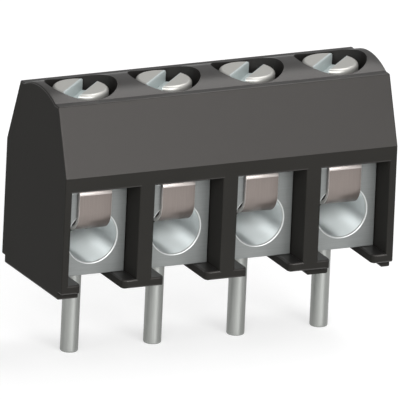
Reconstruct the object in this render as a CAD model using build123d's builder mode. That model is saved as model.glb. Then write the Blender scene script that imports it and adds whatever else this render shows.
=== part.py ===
from build123d import *
import os

# A row of screw terminals for a printed circuit board, in millimetres.
# Frame: origin on the axis of the first solder pin, in the plane of the board's top face.
# +X runs along the row to the last pole, +Y from the wire side to the back, +Z up off the board.

# The row
poles = 4
pitch = 5.0
end_relief = 0.03

# Housing: one moulding with a chamber per pole, open to the wire side
depth = 7.8
partition = 0.9
foot_height = 0.41
floor_thickness = 0.49
head_room = 0.22
lintel = 0.86
slope_rise = 3.72
slope_run = 1.4
shoulder_width = 0.48
crown_rise = 0.48
long_edge_radius = 0.1
end_edge_radius = 0.08

# Floor ledges that carry each clamp body, and the slot between them for its pin
ledge_reach = 0.8
ledge_corner_radius = 0.35

# Stand-off feet under the floor
foot_setback = 0.45
end_foot_width = 0.5

# Clamp body: a plated brass block with the wire bore, the tapped hole and the pin's seat
body_side_gap = 0.05
body_back_gap = 0.05
body_depth = 4.64
body_height = 4.87
bore_radius = 1.45
bore_floor = 0.7
bore_mouth_chamfer = 0.12
body_brow_radius = 0.2

# Solder pin, with a shouldered spigot riveted into the floor of the clamp body
pin_radius = 0.5
pin_reach = 4.2
pin_tip_chamfer = 0.1
spigot_radius = 0.3
spigot_length = 0.5
spigot_clearance = 0.005

# Wire guard: a leaf spring hung over the front of the clamp body, with its tongue in the bore
guard_thickness = 0.22
guard_face_gap = 0.03
guard_side_relief = 0.47
tongue_drop = 1.18
brow_inside_radius = 0.23
tongue_inside_radius = 0.95
tongue_reach = 1.1
flange_side_gap = 0.1
flange_setback = 0.4
flange_reach = 1.9
flange_hole_clearance = 0.1
flange_corner_radius = 0.3

# Clamping screw with a slotted cheese head
screw_radius = 1.25
thread_clearance = 0.04
head_radius = 1.55
head_height = 2.0
head_sink = 0.3
head_edge_chamfer = 0.12
head_clearance = 0.45
drive_slot_width = 0.85
drive_slot_depth = 0.7
drive_slot_angle = 45.0
screw_tip_chamfer = 0.2
screw_tip_gap = 0.03

# Heights above the board, from the bottom up
floor_top = foot_height + floor_thickness
body_top = floor_top + body_height
flange_top = body_top + guard_thickness
chamber_top = flange_top + head_room
wall_top = chamber_top + lintel
shoulder_top = wall_top + slope_rise
crown_top = shoulder_top + crown_rise
bore_axis = floor_top + bore_floor + bore_radius
tongue_bottom = bore_axis + bore_radius - tongue_drop
tongue_top = tongue_bottom + guard_thickness
screw_tip = tongue_top + screw_tip_gap
head_top = crown_top - head_sink
head_seat = head_top - head_height

# Places along the row and across it
pole_places = [index * pitch for index in range(poles)]
row_start = pole_places[0] - pitch / 2 + end_relief
row_end = pole_places[-1] + pitch / 2 - end_relief
front = -depth / 2
back = depth / 2
chamber_width = pitch - partition
chamber_back = body_depth / 2 + body_back_gap
slot_width = chamber_width - 2 * ledge_reach
body_width = chamber_width - 2 * body_side_gap
body_front = -body_depth / 2
flange_front = body_front + flange_setback
flange_width = chamber_width - 2 * flange_side_gap
guard_back = body_front - guard_face_gap
guard_front = guard_back - guard_thickness
guard_width = 2 * (bore_radius - guard_side_relief)
shoulder_edge = back - slope_run
crown_edge = shoulder_edge - shoulder_width
access_radius = head_radius + head_clearance


def foot_spans():
    """Returns each foot's start and end along the row: under the first, third and last walls."""
    first_slot_edge = pole_places[0] - slot_width / 2
    last_wall = pole_places[-1] - pitch / 2
    return [
        (row_start, first_slot_edge),
        (last_wall, pole_places[-1] - slot_width / 2),
        (row_end - end_foot_width, row_end),
    ]


with BuildPart() as housing:
    # End outline: plumb walls, sloping shoulders and a low round crown
    with BuildSketch(Plane.YZ.offset(row_start)) as outline:
        with BuildLine():
            walls = Polyline(
                (crown_edge, shoulder_top),
                (shoulder_edge, shoulder_top),
                (back, wall_top),
                (back, foot_height),
                (front, foot_height),
                (front, wall_top),
                (-shoulder_edge, shoulder_top),
                (-crown_edge, shoulder_top),
            )
            ThreePointArc(walls @ 1, (0, crown_top), walls @ 0)
        make_face()
        crown_corners = outline.vertices().group_by(Axis.Y)[-1].sort_by(Axis.X)[1:-1]
        fillet(outline.vertices() - crown_corners, long_edge_radius)
    extrude(amount=row_end - row_start)
    fillet(housing.faces().filter_by(Axis.X).edges(), end_edge_radius)

    # Chambers, open at the front
    with BuildSketch(Plane.XZ.offset(-front)):
        with Locations([(x, (floor_top + chamber_top) / 2) for x in pole_places]):
            Rectangle(chamber_width, chamber_top - floor_top)
    extrude(amount=front - chamber_back, mode=Mode.SUBTRACT)

    # Slots in the floor, rounded behind each pin, with a flared mouth between the round ledge corners
    with BuildSketch(Plane.XY.offset(foot_height)):
        with Locations([(x, front + ledge_corner_radius / 2) for x in pole_places]):
            Rectangle(slot_width + 2 * ledge_corner_radius, ledge_corner_radius)
        ledge_centres = [
            (x + side * (slot_width / 2 + ledge_corner_radius), front + ledge_corner_radius)
            for x in pole_places
            for side in (-1, 1)
        ]
        with Locations(ledge_centres):
            Circle(ledge_corner_radius, mode=Mode.SUBTRACT)
        with Locations([(x, front / 2) for x in pole_places]):
            Rectangle(slot_width, -front)
        with Locations([(x, 0) for x in pole_places]):
            Circle(slot_width / 2)
    extrude(amount=floor_thickness, mode=Mode.SUBTRACT)

    # Feet
    for start, end in foot_spans():
        with BuildSketch(Plane.XY):
            with Locations(((start + end) / 2, 0)):
                Rectangle(end - start, depth - 2 * foot_setback)
        extrude(amount=foot_height)

    # Screwdriver holes from the crown down into the chambers
    with BuildSketch(Plane.XY.offset(chamber_top)):
        with Locations([(x, 0) for x in pole_places]):
            Circle(access_radius)
    extrude(amount=crown_top - chamber_top, mode=Mode.SUBTRACT)


def make_clamp_body(x):
    """Returns the clamp body of the pole at x: a block with a wire bore, tapped hole and pin seat."""
    with BuildPart() as body:
        with BuildSketch(Plane.XY.offset(floor_top)):
            with Locations((x, 0)):
                Rectangle(body_width, body_depth)
        extrude(amount=body_height)
        brow = body.edges().filter_by(Axis.X).group_by(Axis.Z)[-1].sort_by(Axis.Y)[0]
        fillet(brow, body_brow_radius)
        with BuildSketch(Plane.XZ.offset(-body_front)):
            with Locations((x, bore_axis)):
                Circle(bore_radius)
        extrude(amount=-body_depth, mode=Mode.SUBTRACT)
        mouths = body.edges().filter_by(GeomType.CIRCLE).filter_by(
            lambda edge: abs(edge.radius - bore_radius) < bore_mouth_chamfer / 2)
        chamfer(mouths, bore_mouth_chamfer)
        with BuildSketch(Plane.XY.offset(body_top)):
            with Locations((x, 0)):
                Circle(screw_radius + thread_clearance)
        extrude(amount=bore_axis - body_top, mode=Mode.SUBTRACT)
        with BuildSketch(Plane.XY.offset(floor_top)):
            with Locations((x, 0)):
                Circle(spigot_radius + spigot_clearance)
        extrude(amount=spigot_length + spigot_clearance, mode=Mode.SUBTRACT)
    return body


def make_pin(x):
    """Returns the round solder pin of the pole at x: a chamfered tip below, a shouldered spigot above."""
    with BuildPart() as pin:
        with BuildSketch(Plane.XY.offset(-pin_reach)):
            with Locations((x, 0)):
                Circle(pin_radius)
        extrude(amount=pin_reach + floor_top)
        chamfer(pin.edges().group_by(Axis.Z)[0], pin_tip_chamfer)
        with BuildSketch(Plane.XY.offset(floor_top)):
            with Locations((x, 0)):
                Circle(spigot_radius)
        extrude(amount=spigot_length)
    return pin


def make_guard(x):
    """Returns the wire guard of the pole at x: one stamped strip, bent over the brow and into the bore."""
    with BuildPart() as guard:
        with BuildSketch(Plane.YZ.offset(x - guard_width / 2)):
            with BuildLine():
                outside = FilletPolyline(
                    (flange_front, flange_top),
                    (guard_front, flange_top),
                    (guard_front, tongue_bottom),
                    (tongue_reach, tongue_bottom),
                    radius=(brow_inside_radius + guard_thickness, tongue_inside_radius + guard_thickness),
                )
                inside = FilletPolyline(
                    (tongue_reach, tongue_top),
                    (guard_back, tongue_top),
                    (guard_back, body_top),
                    (flange_front, body_top),
                    radius=(tongue_inside_radius, brow_inside_radius),
                )
                Line(outside @ 1, inside @ 0)
                Line(inside @ 1, outside @ 0)
            make_face()
        extrude(amount=guard_width)
        with BuildSketch(Plane.XY.offset(body_top)):
            with Locations((x, (flange_front + flange_reach) / 2)):
                Rectangle(flange_width, flange_reach - flange_front)
            fillet(vertices(), flange_corner_radius)
            with Locations((x, 0)):
                Circle(screw_radius + flange_hole_clearance, mode=Mode.SUBTRACT)
        extrude(amount=guard_thickness)
    return guard


def make_screw(x):
    """Returns the clamping screw of the pole at x: a slotted cheese head on a plain shank."""
    with BuildPart() as screw:
        with BuildSketch(Plane.XY.offset(screw_tip)):
            with Locations((x, 0)):
                Circle(screw_radius)
        extrude(amount=head_seat - screw_tip)
        chamfer(screw.edges().group_by(Axis.Z)[0], screw_tip_chamfer)
        with BuildSketch(Plane.XY.offset(head_seat)):
            with Locations((x, 0)):
                Circle(head_radius)
        extrude(amount=head_height)
        chamfer(screw.edges().group_by(Axis.Z)[-1], head_edge_chamfer)
        with BuildSketch(Plane.XY.offset(head_top)):
            with Locations((x, 0)):
                Rectangle(3 * head_radius, drive_slot_width, rotation=drive_slot_angle)
        extrude(amount=-drive_slot_depth, mode=Mode.SUBTRACT)
    return screw


os.makedirs("parts", exist_ok=True)
housing.part.label = "housing"
export_step(housing.part, "parts/housing.step")

pieces = {
    "clamp_body": make_clamp_body,
    "solder_pin": make_pin,
    "wire_guard": make_guard,
    "clamp_screw": make_screw,
}
for name, make in pieces.items():
    for number, x in enumerate(pole_places, start=1):
        piece = make(x)
        piece.part.label = f"{name}_{number}"
        export_step(piece.part, f"parts/{name}_{number}.step")
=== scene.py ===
import logging
import math
from dataclasses import dataclass, field
from enum import Enum

import bpy
import numpy as np
from mathutils import Matrix, Vector


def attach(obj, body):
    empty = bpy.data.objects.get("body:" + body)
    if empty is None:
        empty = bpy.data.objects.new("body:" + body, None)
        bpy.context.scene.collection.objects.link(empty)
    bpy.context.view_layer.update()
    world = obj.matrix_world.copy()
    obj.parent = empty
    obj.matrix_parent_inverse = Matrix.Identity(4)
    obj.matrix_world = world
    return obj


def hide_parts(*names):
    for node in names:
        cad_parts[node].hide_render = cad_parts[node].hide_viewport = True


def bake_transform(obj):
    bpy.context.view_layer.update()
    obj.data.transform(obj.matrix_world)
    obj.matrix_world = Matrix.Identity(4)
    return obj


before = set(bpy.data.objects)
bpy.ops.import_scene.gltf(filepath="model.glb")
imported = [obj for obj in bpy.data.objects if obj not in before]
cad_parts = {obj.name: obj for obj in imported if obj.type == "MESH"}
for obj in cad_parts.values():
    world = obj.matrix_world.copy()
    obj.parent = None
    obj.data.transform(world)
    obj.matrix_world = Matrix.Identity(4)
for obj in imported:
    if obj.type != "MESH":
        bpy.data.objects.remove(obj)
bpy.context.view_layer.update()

# What a piece of the block is in Blender
Piece = bpy.types.Object

log = logging.getLogger("terminal_block")

# Pieces are shaped in millimetres, at the first pole, and brought to metres when they are finished
MM = 0.001
POLES = 4
PITCH = 5.0
POLE_PLACES = np.arange(POLES) * PITCH

# How near two places count as the same, and the angle in degrees above which an edge stays sharp
NEAR = 1e-4
CREASE = 35.0

# How far a cutter reaches past the surface that it opens
PAST = 1.0

# Points round the wide and the narrow holes
WIDE_HOLE = 128
NARROW_HOLE = 96

AXIS_DISTANCE = "axis_distance"


class Side(Enum):
    """Which way a cut or a joint of two solids goes."""

    JOIN = "UNION"
    CUT = "DIFFERENCE"


# Colour and node helpers


def linear(hex_colour: str) -> tuple[float, float, float, float]:
    """Turns an sRGB hex colour to linear light.

    Formula: c / 12.92 below 0.04045, else ((c + 0.055) / 1.055) to the power 2.4.

    Args:
        hex_colour: six hex digits after a hash sign.

    Returns:
        Red, green, blue and an alpha of 1.
    """
    srgb = np.array([int(hex_colour[i:i + 2], 16) for i in (1, 3, 5)]) / 255
    light = np.where(srgb < 0.04045, srgb / 12.92, ((srgb + 0.055) / 1.055) ** 2.4)
    return (*light.tolist(), 1.0)


def add_node(tree: bpy.types.NodeTree, kind: str, inputs: dict | None = None, **settings) -> bpy.types.Node:
    """Adds one node with its settings, values and links.

    Args:
        tree: the node tree that gets the node.
        kind: the node's type name.
        inputs: input name or index to a value, or to an output socket to link from.
        **settings: the node's own properties.

    Returns:
        The new node.
    """
    node = tree.nodes.new(kind)
    for name, value in settings.items():
        setattr(node, name, value)
    for key, value in (inputs or {}).items():
        if isinstance(value, bpy.types.NodeSocket):
            tree.links.new(value, node.inputs[key])
        else:
            node.inputs[key].default_value = value
    return node


# Shapes as arrays


def round_corners(corners: np.ndarray, radii: np.ndarray, steps: int = 6) -> np.ndarray:
    """Rounds the corners of a closed polygon.

    Formula: at each corner the arc's centre lies on the bisector, radius / sin(half angle) away,
    and the arc is the centre plus the radius times the direction turned evenly from one side's
    normal to the other's.

    Args:
        corners: corner points, N by 2, either way round.
        radii: one radius per corner, above 0.
        steps: steps along each arc.

    Returns:
        The rounded outline.
    """
    back = np.roll(corners, 1, axis=0) - corners
    ahead = np.roll(corners, -1, axis=0) - corners
    back /= np.linalg.norm(back, axis=1, keepdims=True)
    ahead /= np.linalg.norm(ahead, axis=1, keepdims=True)
    half = np.arccos(np.clip((back * ahead).sum(1), -1, 1)) / 2
    bisector = (back + ahead) / np.linalg.norm(back + ahead, axis=1, keepdims=True)
    centre = corners + bisector * (radii / np.sin(half))[:, None]
    first = corners + back * (radii / np.tan(half))[:, None] - centre
    last = corners + ahead * (radii / np.tan(half))[:, None] - centre
    start = np.arctan2(first[:, 1], first[:, 0])
    sweep = np.arctan2(last[:, 1], last[:, 0]) - start
    sweep = (sweep + np.pi) % (2 * np.pi) - np.pi
    angle = start[:, None] + sweep[:, None] * np.linspace(0, 1, steps + 1)
    arc = np.stack([np.cos(angle), np.sin(angle)], -1) * radii[:, None, None] + centre[:, None]
    return arc.reshape(-1, 2)


def inset_normals(outline: np.ndarray) -> np.ndarray:
    """Gives each outline point's inward direction.

    Formula: the two edge normals n1 and n2 meet as (n1 + n2) / (1 + n1.n2), so that stepping
    by d moves both edges in by d.

    Args:
        outline: closed outline, N by 2, anticlockwise.

    Returns:
        Inward mitre vectors, N by 2.
    """
    ahead = np.roll(outline, -1, axis=0) - outline
    ahead /= np.linalg.norm(ahead, axis=1, keepdims=True)
    normal = np.stack([-ahead[:, 1], ahead[:, 0]], -1)
    before = np.roll(normal, 1, axis=0)
    return (normal + before) / (1 + (normal * before).sum(1))[:, None]


def ring_faces(rings: int, around: int) -> list:
    """Quads between neighbouring rings of a closed tube, with a face over each open end.

    Args:
        rings: number of rings along the tube.
        around: points in each ring.

    Returns:
        Faces as lists of vertex numbers.
    """
    row, column = np.meshgrid(np.arange(rings - 1), np.arange(around), indexing="ij")
    ahead = (column + 1) % around
    quads = np.stack([
        row * around + column, row * around + ahead,
        (row + 1) * around + ahead, (row + 1) * around + column,
    ], -1).reshape(-1, 4)
    ends = [list(range(around))[::-1], list(range((rings - 1) * around, rings * around))]
    return quads.tolist() + ends


def rounded_prism(outline: np.ndarray, start: float, end: float, edge: float, steps: int = 4) -> tuple:
    """Carries an outline along a straight line and rounds the edges of both ends.

    Formula: the ring at angle a from 0 to 90 degrees is inset by edge * (1 - sin a) and stands
    edge * (1 - cos a) from the end face.

    Args:
        outline: closed outline, N by 2, anticlockwise.
        start: where the first end face stands.
        end: where the last end face stands.
        edge: radius of the rounding, 0 for sharp ends.
        steps: steps of the rounding.

    Returns:
        Points as N by 3 with the run as the last coordinate, and the faces.
    """
    angle = np.linspace(0, np.pi / 2, steps + 1) if edge else np.array([np.pi / 2])
    inset = edge * (1 - np.sin(angle))
    away = edge * (1 - np.cos(angle)) if edge else np.zeros(1)
    insets = np.concatenate([inset, inset[::-1]])
    along = np.concatenate([start + away, (end - away)[::-1]])
    flat = outline[None] + inset_normals(outline)[None] * insets[:, None, None]
    run = np.broadcast_to(along[:, None, None], flat.shape[:2] + (1,))
    points = np.concatenate([flat, run], -1).reshape(-1, 3)
    return points, ring_faces(len(along), len(outline))


def turned_grid(profile: np.ndarray, around: int) -> np.ndarray:
    """Turns a profile round the Z axis.

    Formula: x = r cos u, y = r sin u, z = height, for u evenly round the circle.

    Args:
        profile: radius and height, N by 2, from the bottom up.
        around: points round the circle.

    Returns:
        A grid of points, N by around by 3.
    """
    turn = np.arange(around) * (2 * np.pi / around)
    radius = profile[:, 0][:, None]
    height = np.broadcast_to(profile[:, 1][:, None], (len(profile), around))
    return np.stack([radius * np.cos(turn), radius * np.sin(turn), height], -1)


def rounded_edge(radius: float, height: float, edge: float, up: bool, steps: int = 6) -> np.ndarray:
    """Profile points of a turned part's rounded outer edge.

    Formula: a quarter circle of the edge's radius, tangent to the side and to the flat.

    Args:
        radius: outer radius of the part.
        height: height of the flat.
        edge: radius of the rounding.
        up: True for the top edge, False for the bottom one.
        steps: steps of the quarter circle.

    Returns:
        Radius and height, from the bottom up.
    """
    angle = np.linspace(0, np.pi / 2, steps + 1)
    if up:
        return np.stack([radius - edge + edge * np.cos(angle), height - edge + edge * np.sin(angle)], -1)
    return np.stack([radius - edge + edge * np.sin(angle), height + edge - edge * np.cos(angle)], -1)


def flared_mouth(radius: float, height: float, edge: float, steps: int) -> np.ndarray:
    """Profile points of a cutter that rounds the mouth of what it cuts.

    Formula: radius + edge * (1 - cos a), height - edge * (1 - sin a), for a from 0 to 90 degrees.

    Args:
        radius: half width of the cutter below the mouth.
        height: height of the surface that it leaves.
        edge: radius of the rounding.
        steps: steps of the quarter circle.

    Returns:
        Radius and height, from the bottom up.
    """
    bend = np.linspace(0, np.pi / 2, steps + 1)
    return np.stack([radius + edge * (1 - np.cos(bend)), height - edge * (1 - np.sin(bend))], -1)


def round_space(radius: float, low: float, high: float, around: int) -> tuple:
    """Gives an upright cylinder about the Z axis, as points and faces."""
    grid = turned_grid(np.array([(radius, low), (radius, high)]), around)
    return grid.reshape(-1, 3), ring_faces(2, around)


# Meshes


def linked(name: str, data: bpy.types.ID) -> Piece:
    """Makes an object and puts it in the scene.

    Args:
        name: the object's name.
        data: its mesh, lamp or camera.

    Returns:
        The linked object.
    """
    made = bpy.data.objects.new(name, data)
    bpy.context.scene.collection.objects.link(made)
    return made


def mesh_object(name: str, points: np.ndarray, faces: list) -> Piece:
    """Makes an object from points and faces, in millimetres.

    Args:
        name: the object's name.
        points: N by 3.
        faces: lists of vertex numbers.

    Returns:
        The linked object.
    """
    mesh = bpy.data.meshes.new(name)
    mesh.from_pydata(points, [], faces)
    mesh.validate()
    return linked(name, mesh)


def solids(name: str, parts: list) -> Piece:
    """Makes one object of several separate closed solids.

    Args:
        name: the object's name.
        parts: points and faces of each solid.

    Returns:
        The linked object.
    """
    counts = np.cumsum([0] + [len(points) for points, _ in parts])
    points = np.concatenate([points for points, _ in parts])
    faces = [[v + shift for v in face] for (_, some), shift in zip(parts, counts) for face in some]
    return mesh_object(name, points, faces)


def settle(piece: Piece) -> None:
    """Turns the piece's modifiers into its mesh.

    Args:
        piece: the piece, which gets a new mesh of its own name.
    """
    evaluated = piece.evaluated_get(bpy.context.evaluated_depsgraph_get())
    old = piece.data
    piece.data = bpy.data.meshes.new_from_object(evaluated)
    piece.data.name = piece.name
    piece.modifiers.clear()
    bpy.data.meshes.remove(old)


def drop(piece: Piece) -> None:
    """Removes an object and its mesh.

    Args:
        piece: a solid that is used up, or a template whose copies are placed.
    """
    mesh = piece.data
    bpy.data.objects.remove(piece)
    bpy.data.meshes.remove(mesh)


def combine(piece: Piece, other: Piece, side: Side) -> None:
    """Joins or cuts a piece with another solid, which is used up.

    Args:
        piece: the object that stays.
        other: the solid to add or take away.
        side: whether it is joined or cut.
    """
    cut = piece.modifiers.new("combine", "BOOLEAN")
    cut.operation = side.value
    cut.solver = "EXACT"
    cut.object = other
    settle(piece)
    drop(other)


def mesh_points(mesh: bpy.types.Mesh) -> np.ndarray:
    """Reads all points of a mesh.

    Args:
        mesh: the mesh, in millimetres.

    Returns:
        The points, N by 3.
    """
    points = np.empty(len(mesh.vertices) * 3)
    mesh.vertices.foreach_get("co", points)
    return points.reshape(-1, 3)


def edge_ends(piece: Piece) -> np.ndarray:
    """Reads where every edge starts and ends.

    Args:
        piece: the piece, in millimetres.

    Returns:
        Both end points of every edge, E by 2 by 3.
    """
    pairs = np.empty(len(piece.data.edges) * 2, dtype=int)
    piece.data.edges.foreach_get("vertices", pairs)
    return mesh_points(piece.data)[pairs.reshape(-1, 2)]


def face_middles(piece: Piece) -> tuple[np.ndarray, np.ndarray]:
    """Reads where every face lies and which way it looks.

    Args:
        piece: the piece, in millimetres.

    Returns:
        The middle and the outward direction of every face, each F by 3.
    """
    faces = piece.data.polygons
    middle = np.empty(len(faces) * 3)
    normal = np.empty(len(faces) * 3)
    faces.foreach_get("center", middle)
    faces.foreach_get("normal", normal)
    return middle.reshape(-1, 3), normal.reshape(-1, 3)


def ease_edges(piece: Piece, chosen: np.ndarray, width: float, steps: int = 3) -> None:
    """Rounds the chosen edges of a solid.

    Args:
        piece: the solid.
        chosen: True for each edge to round.
        width: width of the rounding, in millimetres.
        steps: steps of the rounding.
    """
    weights = piece.data.attributes.new("bevel_weight_edge", "FLOAT", "EDGE")
    weights.data.foreach_set("value", chosen.astype(np.float32))
    bevel = piece.modifiers.new("ease", "BEVEL")
    bevel.limit_method = "WEIGHT"
    bevel.offset_type = "OFFSET"
    bevel.width = width
    bevel.segments = steps
    bevel.use_clamp_overlap = False
    bevel.miter_outer = "MITER_ARC"
    settle(piece)
    left = piece.data.attributes.get("bevel_weight_edge")
    if left:
        piece.data.attributes.remove(left)


def finish_piece(piece: Piece) -> None:
    """Brings a piece from millimetres to metres, and shades it smooth up to the crease angle.

    Args:
        piece: the dressed piece, in millimetres.
    """
    mesh = piece.data
    mesh.transform(Matrix.Scale(MM, 4))
    mesh.polygons.foreach_set("use_smooth", np.ones(len(mesh.polygons), dtype=bool))
    mesh.set_sharp_from_angle(angle=math.radians(CREASE))
    weigh = piece.modifiers.new("weigh", "WEIGHTED_NORMAL")
    weigh.mode = "FACE_AREA"
    weigh.keep_sharp = True
    settle(piece)


def place_copy(template: Piece, name: str, x: float) -> Piece:
    """Copies a finished piece to another pole.

    Args:
        template: the piece made at x = 0.
        name: the copy's name.
        x: the pole's place in millimetres.

    Returns:
        The linked copy, with its place in its mesh.
    """
    mesh = template.data.copy()
    mesh.transform(Matrix.Translation((x * MM, 0, 0)))
    mesh.name = name
    return linked(name, mesh)


# Finishes


def new_material(name: str) -> tuple[bpy.types.Material, bpy.types.NodeTree, bpy.types.Node]:
    """Starts a material with a Principled shader.

    Args:
        name: the material's name.

    Returns:
        The material, its tree and the shader node.
    """
    material = bpy.data.materials.new(name)
    material.use_nodes = True
    tree = material.node_tree
    tree.nodes.clear()
    shader = add_node(tree, "ShaderNodeBsdfPrincipled")
    add_node(tree, "ShaderNodeOutputMaterial", {"Surface": shader.outputs[0]})
    return material, tree, shader


def dress(piece: Piece, finishes: list, slots: np.ndarray | None = None) -> None:
    """Gives a piece its finishes.

    Args:
        piece: the piece, whose old materials are dropped.
        finishes: one finish per material slot, in order.
        slots: the slot of each face, where there are several.
    """
    piece.data.materials.clear()
    for finish in finishes:
        piece.data.materials.append(finish.material())
    if slots is not None:
        piece.data.polygons.foreach_set("material_index", slots.astype(np.int32))


@dataclass(frozen=True)
class MouldedPolyamide:
    """Black glass-filled polyamide from a finely spark-eroded mould.

    The eye gets a near-black that turns grey where it mirrors a lamp, with a broad soft gloss,
    faint flow clouds and a very fine even grain.
    """

    name: str = "moulded_polyamide"
    colour: str = "#2a2928"
    pale_colour: str = "#302f2e"
    roughness: float = 0.33
    refraction: float = 1.8
    specular_tint: str = "#9f9b98"
    specular_level: float = 0.5
    gloss_spread: float = 0.04
    cloud: float = 3.5
    grain: float = 0.09
    grain_depth: float = 0.002

    def material(self) -> bpy.types.Material:
        """Builds the plastic.

        Returns:
            The material.
        """
        material, tree, shader = new_material(self.name)
        place = add_node(tree, "ShaderNodeTexCoord").outputs["Object"]
        cloud = add_node(tree, "ShaderNodeTexNoise", {
            "Vector": place, "Scale": 1 / (self.cloud * MM), "Detail": 3.0,
        }).outputs[0]
        tone = add_node(tree, "ShaderNodeMix", {
            0: cloud, 6: linear(self.colour), 7: linear(self.pale_colour),
        }, data_type="RGBA").outputs[2]
        gloss = add_node(tree, "ShaderNodeMapRange", {
            "Value": cloud,
            "To Min": self.roughness - self.gloss_spread, "To Max": self.roughness + self.gloss_spread,
        }).outputs[0]
        grain = add_node(tree, "ShaderNodeTexNoise", {
            "Vector": place, "Scale": 1 / (self.grain * MM), "Detail": 2.0,
        }).outputs[0]
        relief = add_node(tree, "ShaderNodeBump", {
            "Height": grain, "Distance": self.grain_depth * MM, "Strength": 1.0,
        }).outputs[0]
        tree.links.new(tone, shader.inputs["Base Color"])
        tree.links.new(gloss, shader.inputs["Roughness"])
        tree.links.new(relief, shader.inputs["Normal"])
        shader.inputs["IOR"].default_value = self.refraction
        shader.inputs["Specular Tint"].default_value = linear(self.specular_tint)
        shader.inputs["Specular IOR Level"].default_value = self.specular_level
        return material


@dataclass(frozen=True)
class CoarseMouldedPolyamide(MouldedPolyamide):
    """The same plastic on the plumb walls, where the mould is eroded coarser so that it lets go.

    The pits of the coarser grain swallow most of the gloss, so the eye gets a flat, deep black.
    """

    name: str = "coarse_moulded_polyamide"
    colour: str = "#2c2b29"
    pale_colour: str = "#31302e"
    roughness: float = 0.6
    specular_level: float = 0.03
    grain: float = 0.14
    grain_depth: float = 0.004


@dataclass(frozen=True)
class WorkedMetal:
    """A plated or bare metal with the fine lines that its last working step left.

    The lines are noise stretched along the way the tool or the rolls went, so the eye gets a
    gloss that breaks up across them and runs on along them. Where the anisotropy is above 0, a
    highlight is drawn out along the spread, square to lines too fine to see.
    """

    name: str
    colour: str
    pale_colour: str
    roughness: float
    gloss_spread: float = 0.04
    line_spacing: float = 0.05
    line_length: float = 1.5
    line_depth: float = 0.0008
    run: tuple[float, float, float] = (1.0, 0.0, 0.0)
    metallic: float = 1.0
    anisotropy: float = 0.0
    spread: tuple[float, float, float] = (0.0, 0.0, 1.0)

    def stretched_place(self, tree: bpy.types.NodeTree) -> bpy.types.NodeSocket:
        """Scales Object coordinates so that one unit is a line's spacing, or its length along the run.

        Args:
            tree: the material's node tree.

        Returns:
            The output that the lines' noise reads.
        """
        place = add_node(tree, "ShaderNodeTexCoord").outputs["Object"]
        run = np.array(self.run)
        scale = run / (self.line_length * MM) + (1 - run) / (self.line_spacing * MM)
        return add_node(tree, "ShaderNodeMapping", {"Vector": place, "Scale": scale.tolist()}).outputs[0]

    def material(self) -> bpy.types.Material:
        """Builds the metal.

        Returns:
            The material.
        """
        material, tree, shader = new_material(self.name)
        lines = add_node(tree, "ShaderNodeTexNoise", {
            "Vector": self.stretched_place(tree), "Scale": 1.0, "Detail": 2.0,
        }).outputs[0]
        tone = add_node(tree, "ShaderNodeMix", {
            0: lines, 6: linear(self.colour), 7: linear(self.pale_colour),
        }, data_type="RGBA").outputs[2]
        gloss = add_node(tree, "ShaderNodeMapRange", {
            "Value": lines,
            "To Min": self.roughness + self.gloss_spread, "To Max": self.roughness - self.gloss_spread,
        }).outputs[0]
        relief = add_node(tree, "ShaderNodeBump", {
            "Height": lines, "Distance": self.line_depth * MM, "Strength": 1.0,
        }).outputs[0]
        tree.links.new(tone, shader.inputs["Base Color"])
        tree.links.new(gloss, shader.inputs["Roughness"])
        tree.links.new(relief, shader.inputs["Normal"])
        shader.inputs["Metallic"].default_value = self.metallic
        if self.anisotropy:
            across = add_node(tree, "ShaderNodeCombineXYZ", dict(enumerate(self.spread))).outputs[0]
            tree.links.new(across, shader.inputs["Tangent"])
            shader.inputs["Anisotropic"].default_value = self.anisotropy
        return material


@dataclass(frozen=True)
class SatinNickelPlate(WorkedMetal):
    """Satin nickel plate over a sawn and milled brass block: a quiet mid grey with level milling lines."""

    name: str = "satin_nickel_plate"
    colour: str = "#7f8281"
    pale_colour: str = "#8c8f8e"
    roughness: float = 0.42
    metallic: float = 0.45


@dataclass(frozen=True)
class ReamedNickelBorePaintedLight(WorkedMetal):
    """Plating over a reamed bore, with fine rings that draw the light along it; its colour, paler than the
    faces, is painted light inside the shaded bore.
    """

    name: str = "reamed_nickel_bore_painted_light"
    # Paler than the same plating on the faces: painted light in the bore.
    colour: str = "#e2eaea"
    pale_colour: str = "#ecf2f2"
    roughness: float = 0.54
    run: tuple[float, float, float] = (1.0, 0.0, 1.0)
    anisotropy: float = 1.0
    spread: tuple[float, float, float] = (0.0, 1.0, 0.0)


@dataclass(frozen=True)
class CutNickelEdgePaintedHighlight(WorkedMetal):
    """The bore mouth's eased edge: its pale colour is a painted highlight, a thin white line round the hole.

    It is half dull, so the painted light keeps the line grey, not black, where it mirrors the dark housing.
    """

    name: str = "cut_nickel_edge_painted_highlight"
    # Pale colour: a painted highlight round the bore's mouth.
    colour: str = "#c6c9c8"
    pale_colour: str = "#d0d3d2"
    roughness: float = 0.3
    metallic: float = 0.5


@dataclass(frozen=True)
class RolledSpringSteel(WorkedMetal):
    """Cold-rolled spring strip, stamped and bent: a warm grey with rolling lines along the strip."""

    name: str = "rolled_spring_steel"
    colour: str = "#7d746f"
    pale_colour: str = "#887f7a"
    roughness: float = 0.3
    metallic: float = 0.55
    run: tuple[float, float, float] = (0.0, 1.0, 1.0)


@dataclass(frozen=True)
class BurnishedSpringSteelPaintedHighlight(WorkedMetal):
    """The strip's outer bend: glossier and fully metallic where the bending die burnished it; its paler
    colour is a painted highlight along the bend.
    """

    name: str = "burnished_spring_steel_painted_highlight"
    # Paler than the strip: a painted highlight on the bend.
    colour: str = "#b5aeaa"
    pale_colour: str = "#c1bab6"
    roughness: float = 0.36
    run: tuple[float, float, float] = (0.0, 1.0, 1.0)


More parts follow.
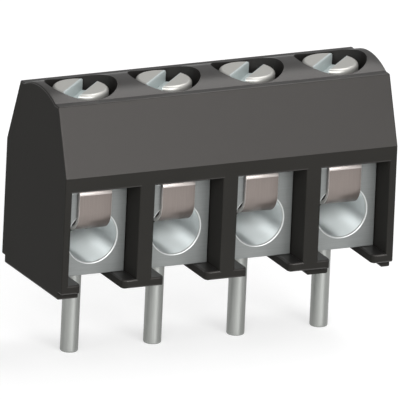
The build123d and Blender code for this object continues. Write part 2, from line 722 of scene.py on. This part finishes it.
@dataclass(frozen=True)
class ShearedSteelEdgePaintedLight(WorkedMetal):
    """The strip's sheared sides: bare, with a dull break; their pale colour is painted light that lifts the
    sides out of their shade beside the clamp body.
    """

    name: str = "sheared_steel_edge_painted_light"
    # Near-white colour: painted light on the shaded sides.
    colour: str = "#d6d1cd"
    pale_colour: str = "#e2ddd9"
    roughness: float = 0.5
    metallic: float = 0.25


@dataclass(frozen=True)
class TinnedBrassWire(WorkedMetal):
    """Drawn brass wire with bright tin plating: a pale grey with one long highlight down its length."""

    name: str = "tinned_brass_wire"
    colour: str = "#9c9e9b"
    pale_colour: str = "#a9aba8"
    roughness: float = 0.5
    run: tuple[float, float, float] = (0.0, 0.0, 1.0)
    anisotropy: float = 0.6


@dataclass(frozen=True)
class TurnedNickelSteel(WorkedMetal):
    """Turned steel screw with nickel plate: a pale grey with fine rings round the screw's own axis.

    The lines read the piece's own attribute, the distance from its axis in millimetres.
    """

    name: str = "turned_nickel_steel"
    colour: str = "#c4c3be"
    pale_colour: str = "#cfcec9"
    roughness: float = 0.4
    metallic: float = 0.65
    line_spacing: float = 0.07

    def stretched_place(self, tree: bpy.types.NodeTree) -> bpy.types.NodeSocket:
        """Reads the distance from the screw's axis, and scales it so that one unit is a ring's spacing.

        Args:
            tree: the material's node tree.

        Returns:
            The output that the rings' noise reads.
        """
        reach = add_node(tree, "ShaderNodeAttribute", attribute_name=AXIS_DISTANCE).outputs["Fac"]
        scale = 1 / self.line_spacing
        spaced = add_node(tree, "ShaderNodeMath", {0: reach, 1: scale}, operation="MULTIPLY").outputs[0]
        return add_node(tree, "ShaderNodeCombineXYZ", {"X": spaced}).outputs[0]


@dataclass(frozen=True)
class MilledNickelSlotPaintedLight(WorkedMetal):
    """The driver slot, milled and plated, and half dull: its paler, cooler colour than the head is painted
    light in the shaded slot.
    """

    name: str = "milled_nickel_slot_painted_light"
    # Paler than the head: painted light in the slot.
    colour: str = "#c3cccb"
    pale_colour: str = "#ced6d6"
    roughness: float = 0.45
    metallic: float = 0.3


# The object's sub-assemblies


@dataclass
class Housing:
    """The black moulding: four chambers, floor ledges, feet, sloping shoulders and a low crown."""

    depth: float = 7.8
    row_start: float = -2.47
    row_end: float = 17.47
    foot_height: float = 0.41
    floor_top: float = 0.90
    chamber_top: float = 6.21
    wall_top: float = 7.07
    shoulder_top: float = 10.79
    crown_top: float = 11.27
    shoulder_edge: float = 2.5
    crown_edge: float = 2.02
    chamber_half: float = 2.05
    chamber_back: float = 2.37
    slot_half: float = 1.25
    ledge_corner: float = 0.35
    foot_setback: float = 0.45
    end_foot_width: float = 0.5
    access_radius: float = 2.0
    long_edge: float = 0.1
    end_edge: float = 0.08
    mouth_edge: float = 0.09
    crown_points: int = 49
    flare_points: int = 9
    rear_points: int = 17
    plumb_tilt: float = 0.1
    finish: MouldedPolyamide = field(default_factory=MouldedPolyamide)
    wall_finish: CoarseMouldedPolyamide = field(default_factory=CoarseMouldedPolyamide)

    def outline(self) -> np.ndarray:
        """Gives the end outline: plumb walls, slopes, flat shoulders and the crown's arc.

        The crown's radius is (c squared + h squared) / 2h for half chord c and rise h.

        Returns:
            Depth and height of each point, anticlockwise seen from the far end.
        """
        half = self.depth / 2
        corners = np.array([
            (-self.shoulder_edge, self.shoulder_top), (-half, self.wall_top), (-half, self.foot_height),
            (half, self.foot_height), (half, self.wall_top), (self.shoulder_edge, self.shoulder_top),
        ])
        walls = round_corners(corners, np.full(len(corners), self.long_edge))
        rise = self.crown_top - self.shoulder_top
        radius = (self.crown_edge ** 2 + rise ** 2) / (2 * rise)
        reach = np.arcsin(self.crown_edge / radius)
        angle = np.linspace(reach, -reach, self.crown_points)
        crown = np.stack([radius * np.sin(angle), self.crown_top - radius + radius * np.cos(angle)], -1)
        return np.concatenate([walls, crown])

    def shell(self) -> Piece:
        """Carries the outline along the row, with both ends' edges rounded."""
        points, faces = rounded_prism(self.outline(), self.row_start, self.row_end, self.end_edge)
        return mesh_object("housing", points[:, [2, 0, 1]], faces)

    def block(self, low: tuple, high: tuple) -> tuple:
        """Gives a plain box between two corners.

        Args:
            low: the box's lowest x, y and z.
            high: the box's highest x, y and z.

        Returns:
            Points and faces.
        """
        (x0, y0, z0), (x1, y1, z1) = low, high
        outline = np.array([(x0, y0), (x1, y0), (x1, y1), (x0, y1)])
        return rounded_prism(outline, z0, z1, 0.0)

    def feet(self) -> Piece:
        """Makes the three stand-off feet, rising a little into the floor.

        Returns:
            The feet as one object.
        """
        spans = [
            (self.row_start, -self.slot_half),
            (PITCH * (POLES - 1.5), PITCH * (POLES - 1) - self.slot_half),
            (self.row_end - self.end_foot_width, self.row_end),
        ]
        reach = self.depth / 2 - self.foot_setback
        top = (self.foot_height + self.floor_top) / 2
        return solids("feet", [self.block((a, -reach, 0), (b, reach, top)) for a, b in spans])

    def chambers(self) -> Piece:
        """Makes the four chambers' space, open to the wire side.

        Returns:
            The cutter.
        """
        return solids("chambers", [
            self.block((x - self.chamber_half, -self.depth, self.floor_top),
                       (x + self.chamber_half, self.chamber_back, self.chamber_top))
            for x in POLE_PLACES
        ])

    def slots(self) -> Piece:
        """Makes the floor slots' space: a flared mouth, straight sides and a round rear end.

        The round end is the circle of half the slot's width about the pin's axis, and the flare
        is a quarter circle of the ledge corner's radius.

        Returns:
            The cutter.
        """
        front, turn = -self.depth / 2, np.linspace(0, np.pi / 2, self.flare_points)
        flare = np.stack([
            self.slot_half + self.ledge_corner * (1 - np.cos(turn)),
            front + self.ledge_corner * (1 - np.sin(turn)),
        ], -1)[::-1]
        flare[0, 1] = front
        mouth = np.array([(self.slot_half + self.ledge_corner, front - PAST)])
        bend = np.linspace(0, np.pi / 2, self.rear_points)
        rear = self.slot_half * np.stack([np.cos(bend), np.sin(bend)], -1)
        right = np.concatenate([mouth, flare, rear])
        outline = np.concatenate([right, (right * (-1, 1))[-2::-1]])
        return solids("slots", [
            rounded_prism(outline + (x, 0), -PAST, (self.floor_top + self.chamber_top) / 2, 0.0)
            for x in POLE_PLACES
        ])

    def access_holes(self) -> Piece:
        """Makes the round screwdriver holes' space, from the chambers up through the crown.

        Returns:
            The cutter.
        """
        low = (self.floor_top + self.chamber_top) / 2
        points, faces = round_space(self.access_radius, low, self.crown_top + PAST, WIDE_HOLE)
        return solids("access_holes", [(points + (x, 0, 0), faces) for x in POLE_PLACES])

    def eased(self, ends: np.ndarray) -> np.ndarray:
        """Picks the edges to ease: round each chamber's mouth, along the ledges and under the feet.

        Args:
            ends: both end points of every edge, E by 2 by 3.

        Returns:
            True for each edge to ease.
        """
        pole = np.round(ends[..., 0] / PITCH)
        off = np.abs(ends[..., 0] - pole * PITCH)
        same = pole[:, 0] == pole[:, 1]
        front = np.abs(ends[..., 1] + self.depth / 2) < NEAR
        height = ends[..., 2]
        mouth = front & (off < self.chamber_half + NEAR) & (height > self.floor_top - NEAR)
        ledge = (np.abs(height - self.floor_top) < NEAR) & (off < self.slot_half + self.ledge_corner + NEAR)
        under = np.abs(height) < NEAR
        return same & (mouth.all(1) | ledge.all(1) | under.all(1))

    def slots_of_faces(self, piece: Piece) -> np.ndarray:
        """Finds the plumb walls, which are coarser, apart from the screwdriver holes' walls.

        Args:
            piece: the housing, in millimetres.

        Returns:
            The slot of each face: 1 on the plumb walls, 0 elsewhere.
        """
        middle, normal = face_middles(piece)
        off = middle[:, 0] - PITCH * np.round(middle[:, 0] / PITCH)
        hole = (np.hypot(off, middle[:, 1]) < self.access_radius + NEAR) & (middle[:, 2] > self.chamber_top)
        return (np.abs(normal[:, 2]) < self.plumb_tilt) & ~hole

    def build(self) -> Piece:
        """Builds and dresses the housing.

        Returns:
            The finished piece.
        """
        piece = self.shell()
        combine(piece, self.feet(), Side.JOIN)
        combine(piece, self.chambers(), Side.CUT)
        combine(piece, self.slots(), Side.CUT)
        combine(piece, self.access_holes(), Side.CUT)
        ease_edges(piece, self.eased(edge_ends(piece)), self.mouth_edge)
        dress(piece, [self.finish, self.wall_finish], self.slots_of_faces(piece))
        finish_piece(piece)
        return piece


@dataclass
class ClampBody:
    """The plated brass block that grips the wire: a bore through it and a tapped hole from above."""

    half_width: float = 2.0
    depth: float = 4.64
    floor_top: float = 0.90
    height: float = 4.87
    bore_axis: float = 3.05
    bore_radius: float = 1.45
    mouth_edge: float = 0.09
    brow: float = 0.2
    edge: float = 0.06
    tapped_radius: float = 1.29
    seat_radius: float = 0.305
    seat_depth: float = 0.505
    bore_slope: float = 0.02
    front_slope: float = 0.995
    corner_steps: int = 8
    flare_steps: int = 6
    face_finish: SatinNickelPlate = field(default_factory=SatinNickelPlate)
    bore_finish: ReamedNickelBorePaintedLight = field(default_factory=ReamedNickelBorePaintedLight)
    edge_finish: CutNickelEdgePaintedHighlight = field(default_factory=CutNickelEdgePaintedHighlight)

    def block(self) -> Piece:
        """Makes the block: a rounded outline in depth and height, carried along the row.

        Returns:
            The block.
        """
        half, top = self.depth / 2, self.floor_top + self.height
        corners = np.array([(-half, self.floor_top), (half, self.floor_top), (half, top), (-half, top)])
        radii = np.array([self.edge, self.edge, self.edge, self.brow])
        outline = round_corners(corners, radii, self.corner_steps)
        points, faces = rounded_prism(outline, -self.half_width, self.half_width, self.edge)
        return mesh_object("clamp_body", points[:, [2, 0, 1]], faces)

    def bore(self) -> Piece:
        """Makes the wire bore's space: a cylinder along the depth, flared at both mouths.

        Returns:
            The cutter.
        """
        flare = flared_mouth(self.bore_radius, self.depth / 2, self.mouth_edge, self.flare_steps)
        rear = np.concatenate([flare, [(self.bore_radius + self.mouth_edge, self.depth)]])
        profile = np.concatenate([(rear * (1, -1))[::-1], rear])
        x, z, y = np.moveaxis(turned_grid(profile, WIDE_HOLE), -1, 0)
        points = np.stack([x, y, self.bore_axis - z], -1).reshape(-1, 3)
        return mesh_object("bore", points, ring_faces(len(profile), WIDE_HOLE))

    def slots_of_faces(self, piece: Piece) -> np.ndarray:
        """Finds the faces inside the bore and those of its eased mouths.

        A face's slope is how much it faces along the bore: 0 in the bore, 1 on the block's front.

        Args:
            piece: the clamp body, in millimetres.

        Returns:
            The slot of each face: 1 in the bore, 2 on its mouths, 0 elsewhere.
        """
        middle, normal = face_middles(piece)
        reach = np.hypot(middle[:, 0], middle[:, 2] - self.bore_axis)
        slope = np.abs(normal[:, 1])
        round_faces = (reach < self.bore_radius + self.mouth_edge) & (slope < self.front_slope)
        return round_faces + 1 * (round_faces & (slope > self.bore_slope))

    def build(self) -> Piece:
        """Builds and dresses the clamp body at the first pole.

        Returns:
            The template piece.
        """
        piece = self.block()
        combine(piece, self.bore(), Side.CUT)
        top, seat_top = self.floor_top + self.height, self.floor_top + self.seat_depth
        tapped = round_space(self.tapped_radius, self.bore_axis, top + PAST, NARROW_HOLE)
        combine(piece, mesh_object("tapped", *tapped), Side.CUT)
        seat = round_space(self.seat_radius, self.floor_top - PAST, seat_top, NARROW_HOLE)
        combine(piece, mesh_object("seat", *seat), Side.CUT)
        dress(piece, [self.face_finish, self.bore_finish, self.edge_finish], self.slots_of_faces(piece))
        finish_piece(piece)
        return piece


@dataclass
class SolderPin:
    """The round pin for the board: eased tip below, shouldered spigot above."""

    radius: float = 0.5
    reach: float = 4.2
    tip_edge: float = 0.1
    top: float = 0.90
    shoulder_edge: float = 0.03
    spigot_radius: float = 0.3
    spigot_top: float = 1.4
    spigot_edge: float = 0.05
    edge_steps: int = 3
    rows: int = 24
    around: int = 64
    finish: TinnedBrassWire = field(default_factory=TinnedBrassWire)

    def build(self) -> Piece:
        """Turns the pin's profile at the first pole.

        Returns:
            The template piece.
        """
        heights = np.linspace(3 * self.tip_edge - self.reach, self.top - self.tip_edge, self.rows)
        profile = np.concatenate([
            rounded_edge(self.radius, -self.reach, self.tip_edge, False),
            np.stack([np.full(self.rows, self.radius), heights], -1),
            rounded_edge(self.radius, self.top, self.shoulder_edge, True, self.edge_steps),
            [(self.spigot_radius, self.top)],
            rounded_edge(self.spigot_radius, self.spigot_top, self.spigot_edge, True, self.edge_steps),
        ])
        points = turned_grid(profile, self.around).reshape(-1, 3)
        piece = mesh_object("solder_pin", points, ring_faces(len(profile), self.around))
        dress(piece, [self.finish])
        finish_piece(piece)
        return piece


@dataclass
class WireGuard:
    """The leaf spring over the clamp body: a drilled flange, a hanging web and a tongue in the bore."""

    width: float = 1.96
    thickness: float = 0.22
    edge: float = 0.03
    web_middle: float = -2.46
    flange_bottom: float = 5.77
    tongue_bottom: float = 3.32
    tongue_reach: float = 1.1
    brow_inside: float = 0.23
    tongue_inside: float = 0.95
    flange_front: float = -1.92
    flange_back: float = 1.9
    flange_half: float = 1.95
    flange_corner: float = 0.3
    hole_radius: float = 1.35
    lap: float = 0.4
    side_slack: float = 0.01
    side_facing: float = 0.5
    brow_points: int = 17
    turn_points: int = 25
    web_points: int = 9
    tongue_points: int = 17
    section_steps: int = 4
    corner_steps: int = 8
    edge_steps: int = 3
    still_above: float = 5.2
    bend_reach: float = 14.2
    bend_steepness: float = 8.0
    finish: RolledSpringSteel = field(default_factory=RolledSpringSteel)
    bend_finish: BurnishedSpringSteelPaintedHighlight = field(default_factory=BurnishedSpringSteelPaintedHighlight)
    side_finish: ShearedSteelEdgePaintedLight = field(default_factory=ShearedSteelEdgePaintedLight)

    def path(self) -> np.ndarray:
        """Gives the middle line of the strip, from inside the flange to the tongue's tip.

        Straight runs joined by arcs at the brow and where the tongue turns into the bore; each
        arc's radius is the inside radius plus half the thickness.

        Returns:
            Depth and height of each point.
        """
        half = self.thickness / 2
        flange, tongue = self.flange_bottom + half, self.tongue_bottom + half
        brow, turn = self.brow_inside + half, self.tongue_inside + half
        angle = np.linspace(np.pi / 2, np.pi, self.brow_points)
        over = np.stack([np.cos(angle), np.sin(angle)], -1) * brow + (self.web_middle + brow, flange - brow)
        angle = np.linspace(np.pi, 1.5 * np.pi, self.turn_points)
        under = np.stack([np.cos(angle), np.sin(angle)], -1) * turn + (self.web_middle + turn, tongue + turn)
        start = np.array([(self.flange_front + self.lap, flange)])
        run = np.linspace(self.web_middle + turn, self.tongue_reach, self.tongue_points)[1:]
        flat = np.stack([run, np.full(len(run), tongue)], -1)
        web = np.linspace(over[-1], under[0], self.web_points)[1:-1]
        return np.concatenate([start, over, web, under, flat])

    def section(self) -> np.ndarray:
        """Gives the strip's cross-section: a flat rectangle with eased edges.

        Returns:
            Place across the strip and through its thickness, for each point.
        """
        x, t = self.width / 2, self.thickness / 2
        corners = np.array([(-x, -t), (x, -t), (x, t), (-x, t)])
        return round_corners(corners, np.full(len(corners), self.edge), self.section_steps)

    def strip(self) -> Piece:
        """Carries the section along the path.

        Formula: point = path + across * x + normal * thickness, where the normal is the path's
        direction turned by 90 degrees.

        Returns:
            The strip.
        """
        path, section = self.path(), self.section()
        ahead = np.gradient(path, axis=0)
        ahead /= np.linalg.norm(ahead, axis=1, keepdims=True)
        normal = np.stack([-ahead[:, 1], ahead[:, 0]], -1)
        deep = path[:, None] + normal[:, None] * section[None, :, 1:]
        across = np.broadcast_to(section[None, :, :1], deep.shape[:2] + (1,))
        points = np.concatenate([across, deep], -1).reshape(-1, 3)
        return mesh_object("wire_guard", points, ring_faces(len(path), len(section)))

    def flange(self) -> Piece:
        """Makes the flange under the screw head: a plate with round corners and a hole.

        Returns:
            The flange.
        """
        half, low, high = self.flange_half, self.flange_front, self.flange_back
        corners = np.array([(-half, low), (half, low), (half, high), (-half, high)])
        outline = round_corners(corners, np.full(len(corners), self.flange_corner), self.corner_steps)
        top = self.flange_bottom + self.thickness
        solid = rounded_prism(outline, self.flange_bottom, top, self.edge, self.edge_steps)
        plate = mesh_object("flange", *solid)
        hole = round_space(self.hole_radius, self.flange_bottom - PAST, top + PAST, NARROW_HOLE)
        combine(plate, mesh_object("flange_hole", *hole), Side.CUT)
        return plate

    def build(self) -> Piece:
        """Builds and dresses the guard at the first pole.

        Returns:
            The template piece.
        """
        piece = self.strip()
        combine(piece, self.flange(), Side.JOIN)
        dress(piece, [self.finish, self.bend_finish, self.side_finish], self.slots_of_faces(piece))
        finish_piece(piece)
        return piece

    def slots_of_faces(self, piece: Piece) -> np.ndarray:
        """Finds the outer bend, which is burnished and gets a painted highlight, and the strip's sheared
        sides, whose pale colour is painted light.

        Args:
            piece: the guard, in millimetres.

        Returns:
            The slot of each face: 1 on the bend, 2 on the sides, 0 elsewhere.
        """
        middle, normal = face_middles(piece)
        x, y, z = middle.T
        top, foot = self.flange_bottom + self.thickness, self.flange_bottom - self.brow_inside
        bend = (y < self.flange_front - self.edge) & (z > foot) & (z < top)
        side = (np.abs(normal[:, 0]) > self.side_facing) & (np.abs(x) < self.width / 2 + self.side_slack)
        return np.where(side, 2, bend)


@dataclass
class ClampScrew:
    """The clamping screw: a slotted cheese head on an M2.5 shank with its thread."""

    shank_radius: float = 1.25
    thread_pitch: float = 0.45
    thread_depth: float = 0.27
    tip: float = 3.57
    tip_chamfer: float = 0.2
    head_radius: float = 1.55
    head_seat: float = 8.97
    head_top: float = 10.97
    head_edge: float = 0.2
    slot_width: float = 0.85
    slot_depth: float = 0.7
    slot_angle: float = 45.0
    slot_edge: float = 0.09
    seat_edge: float = 0.06
    under_head: float = 0.02
    flare_steps: int = 5
    seat_steps: int = 3
    rows: int = 140
    around: int = 96
    finish: TurnedNickelSteel = field(default_factory=TurnedNickelSteel)
    slot_finish: MilledNickelSlotPaintedLight = field(default_factory=MilledNickelSlotPaintedLight)

    def turned(self) -> Piece:
        """Turns the screw's profile and cuts the thread into the shank's rows.

        Formula: radius = shank radius - depth * (1 + cos(2 pi z / pitch - u)) / 2, which is a
        helix, and the depth fades out within one pitch of both ends of the shank.

        Returns:
            The screw without its driver slot.
        """
        low, high = self.tip + self.tip_chamfer, self.head_seat - self.under_head
        rows = np.linspace(low, high, self.rows)
        profile = np.concatenate([
            [(self.shank_radius - self.tip_chamfer, self.tip)],
            np.stack([np.full(len(rows), self.shank_radius), rows], -1),
            [(self.shank_radius, self.head_seat)],
            rounded_edge(self.head_radius, self.head_seat, self.seat_edge, False, self.seat_steps),
            rounded_edge(self.head_radius, self.head_top, self.head_edge, True),
        ])
        grid = turned_grid(profile, self.around)
        turn = np.arange(self.around) * (2 * np.pi / self.around)
        wave = (1 + np.cos(2 * np.pi * rows[:, None] / self.thread_pitch - turn[None])) / 2
        fade = np.clip(np.minimum(rows - low, high - rows) / self.thread_pitch, 0, 1)[:, None]
        share = 1 - self.thread_depth * wave * fade / self.shank_radius
        grid[1:1 + len(rows), :, :2] *= share[..., None]
        return mesh_object("clamp_screw", grid.reshape(-1, 3), ring_faces(len(profile), self.around))

    def slot_space(self) -> Piece:
        """Makes the driver slot's space: a channel turned about the axis, flared at the top.

        Formula: x = along * cos a - across * sin a, y = along * sin a + across * cos a, for the
        slot's angle a.

        Returns:
            The cutter.
        """
        reach, half = 2 * self.head_radius, self.slot_width / 2
        flare = flared_mouth(half, self.head_top, self.slot_edge, self.flare_steps)
        right = np.concatenate([
            [(half, self.head_top - self.slot_depth)], flare, [(half + self.slot_edge, self.head_top + PAST)],
        ])
        outline = np.concatenate([right, (right * (-1, 1))[::-1]])
        points, faces = rounded_prism(outline, -reach, reach, 0.0)
        across, height, along = points.T
        angle = math.radians(self.slot_angle)
        x = along * math.cos(angle) - across * math.sin(angle)
        y = along * math.sin(angle) + across * math.cos(angle)
        return mesh_object("slot_space", np.stack([x, y, height], -1), faces)

    def slots_of_faces(self, piece: Piece) -> np.ndarray:
        """Finds the driver slot's floor, walls and flared edges, which are milled and get painted light.

        Args:
            piece: the screw, in millimetres.

        Returns:
            The slot of each face: 1 in the driver slot, 0 elsewhere.
        """
        middle, _ = face_middles(piece)
        angle = math.radians(self.slot_angle)
        x, y, z = middle.T
        off = np.abs(y * math.cos(angle) - x * math.sin(angle))
        above = z > self.head_top - self.slot_depth - NEAR
        return (off < self.slot_width / 2 + self.slot_edge) & (np.hypot(x, y) < self.head_radius) & above

    def measure(self, piece: Piece) -> None:
        """Stores each point's distance from the screw's axis, in millimetres.

        Args:
            piece: the screw, in millimetres.
        """
        x, y, _ = mesh_points(piece.data).T
        kept = piece.data.attributes.new(AXIS_DISTANCE, "FLOAT", "POINT")
        kept.data.foreach_set("value", np.hypot(x, y).astype(np.float32))

    def build(self) -> Piece:
        """Builds and dresses the screw at the first pole.

        Returns:
            The template piece.
        """
        piece = self.turned()
        combine(piece, self.slot_space(), Side.CUT)
        self.measure(piece)
        dress(piece, [self.finish, self.slot_finish], self.slots_of_faces(piece))
        finish_piece(piece)
        return piece


# The studio


@dataclass(frozen=True)
class Softbox:
    """A square lamp that faces the object: its way from the object, its radiance and its size."""

    name: str
    way: tuple[float, float, float]
    radiance: float
    size: float = 0.16
    away: float = 0.3

    def build(self, target: Vector) -> None:
        """Hangs the lamp. A square lamp of radiance L and side s gives off pi * L * s squared watts.

        Args:
            target: the point that it faces.
        """
        lamp = bpy.data.lights.new(self.name, "AREA")
        lamp.shape = "SQUARE"
        lamp.size = self.size
        lamp.energy = math.pi * self.radiance * self.size ** 2
        way = Vector(self.way).normalized()
        turn = way.to_track_quat("Z", "Y").to_matrix().to_4x4()
        linked(self.name, lamp).matrix_world = Matrix.Translation(target + way * self.away) @ turn


@dataclass
class Studio:
    """The plain pale floor, the soft light and the camera at the photograph's angle."""

    floor_height: float = -4.2
    floor_reach: float = 600.0
    floor_colour: str = "#c2c2c2"
    floor_lift: float = 0.6
    floor_roughness: float = 0.9
    floor_specular: float = 0.1
    world_colour: str = "#fafafa"
    world_strength: float = 0.22
    right: tuple[float, float, float] = (0.9079, -0.4169, 0.0425)
    up: tuple[float, float, float] = (0.0925, 0.2982, 0.9500)
    middle: tuple[float, float, float] = (7.514, 0.0, 3.711)
    view_width: float = 21.832
    camera_away: float = 0.15
    near_clip: float = 0.001
    far_clip: float = 5.0
    softboxes: tuple[Softbox, ...] = (
        Softbox("key_front", (0.15, -0.93, 0.33), 4.8),
        Softbox("low_front", (0.05, -0.97, 0.22), 1.5),
        Softbox("fill_left", (-0.45, -0.78, 0.43), 4.5),
        Softbox("rim_left", (-0.93, -0.25, 0.28), 1.5),
        Softbox("top_right", (0.41, 0.27, 0.87), 3.6),
        Softbox("top_front", (0.41, -0.30, 0.85), 2.0),
        Softbox("back_right", (0.41, 0.80, 0.43), 0.25),
    )

    def floor(self) -> None:
        """Makes the floor, with a lift for camera, glossy and transmission rays that keeps it white."""
        reach, height = self.floor_reach, self.floor_height
        corners = [(-reach, -reach, height), (reach, -reach, height), (reach, reach, height)]
        corners.append((-reach, reach, height))
        made = mesh_object("floor", np.array(corners) * MM, [[0, 1, 2, 3]])
        material, tree, shader = new_material("matt_paper")
        shader.inputs["Base Color"].default_value = linear(self.floor_colour)
        shader.inputs["Roughness"].default_value = self.floor_roughness
        shader.inputs["Specular IOR Level"].default_value = self.floor_specular
        shader.inputs["Emission Color"].default_value = (1, 1, 1, 1)
        path = add_node(tree, "ShaderNodeLightPath")
        seen = path.outputs["Is Camera Ray"]
        for ray in ("Is Glossy Ray", "Is Transmission Ray"):
            both = {0: seen, 1: path.outputs[ray]}
            seen = add_node(tree, "ShaderNodeMath", both, operation="MAXIMUM").outputs[0]
        lift = add_node(tree, "ShaderNodeMath", {0: seen, 1: self.floor_lift}, operation="MULTIPLY")
        tree.links.new(lift.outputs[0], shader.inputs["Emission Strength"])
        made.data.materials.append(material)

    def light(self) -> None:
        """Sets the world's even light and hangs the softboxes."""
        world = bpy.data.worlds.new("studio")
        world.use_nodes = True
        backdrop = world.node_tree.nodes["Background"]
        backdrop.inputs["Color"].default_value = linear(self.world_colour)
        backdrop.inputs["Strength"].default_value = self.world_strength
        bpy.context.scene.world = world
        for softbox in self.softboxes:
            softbox.build(Vector(self.middle) * MM)

    def camera(self) -> None:
        """Sets the parallel camera: its axes are right, up and their cross product, the way back."""
        right, up = Vector(self.right).normalized(), Vector(self.up).normalized()
        back = right.cross(up).normalized()
        up = back.cross(right)
        lens = bpy.data.cameras.new("camera")
        lens.type = "ORTHO"
        lens.ortho_scale = self.view_width * MM
        lens.clip_start, lens.clip_end = self.near_clip, self.far_clip
        made = linked("camera", lens)
        turn = Matrix((right, up, back)).transposed().to_4x4()
        made.matrix_world = Matrix.Translation(Vector(self.middle) * MM + back * self.camera_away) @ turn
        bpy.context.scene.camera = made

    def build(self) -> None:
        """Builds the floor, the light and the camera."""
        self.floor()
        self.light()
        self.camera()
        bpy.context.scene.view_settings.view_transform = "Standard"


def place_row(template: Piece, node: str) -> list:
    """Copies a pole's piece to every pole, in place of its CAD nodes.

    Args:
        template: the piece made at the first pole's axis.
        node: the CAD nodes' name without the pole's number.

    Returns:
        The placed pieces.
    """
    placed = []
    for number, x in enumerate(POLE_PLACES, start=1):
        piece = place_copy(template, f"{node}_{number}_dressed", float(x))
        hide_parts(f"{node}_{number}")
        placed.append(piece)
    drop(template)
    log.info("%s: %d pieces of %d faces", node, len(placed), len(placed[0].data.polygons))
    return placed


def main() -> None:
    """Builds the terminal block and its studio, hides the CAD nodes that the dressed pieces stand in for, and
    hangs the housing, clamp bodies, pins and screws on their bodies.
    """
    logging.basicConfig(level=logging.INFO, format="%(message)s")
    Studio().build()

    housing = Housing().build()
    housing.name = "housing_dressed"
    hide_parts("housing")
    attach(housing, "housing")
    log.info("housing: %d faces", len(housing.data.polygons))

    for piece in place_row(ClampBody().build(), "clamp_body"):
        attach(piece, "housing")
    for piece in place_row(SolderPin().build(), "solder_pin"):
        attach(piece, "housing")
    for number, piece in enumerate(place_row(ClampScrew().build(), "clamp_screw"), start=1):
        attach(piece, f"clamp_screw_{number}")
    guard = WireGuard()
    for number, piece in enumerate(place_row(guard.build(), "wire_guard"), start=1):
        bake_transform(piece)


if __name__ == "__main__":
    main()
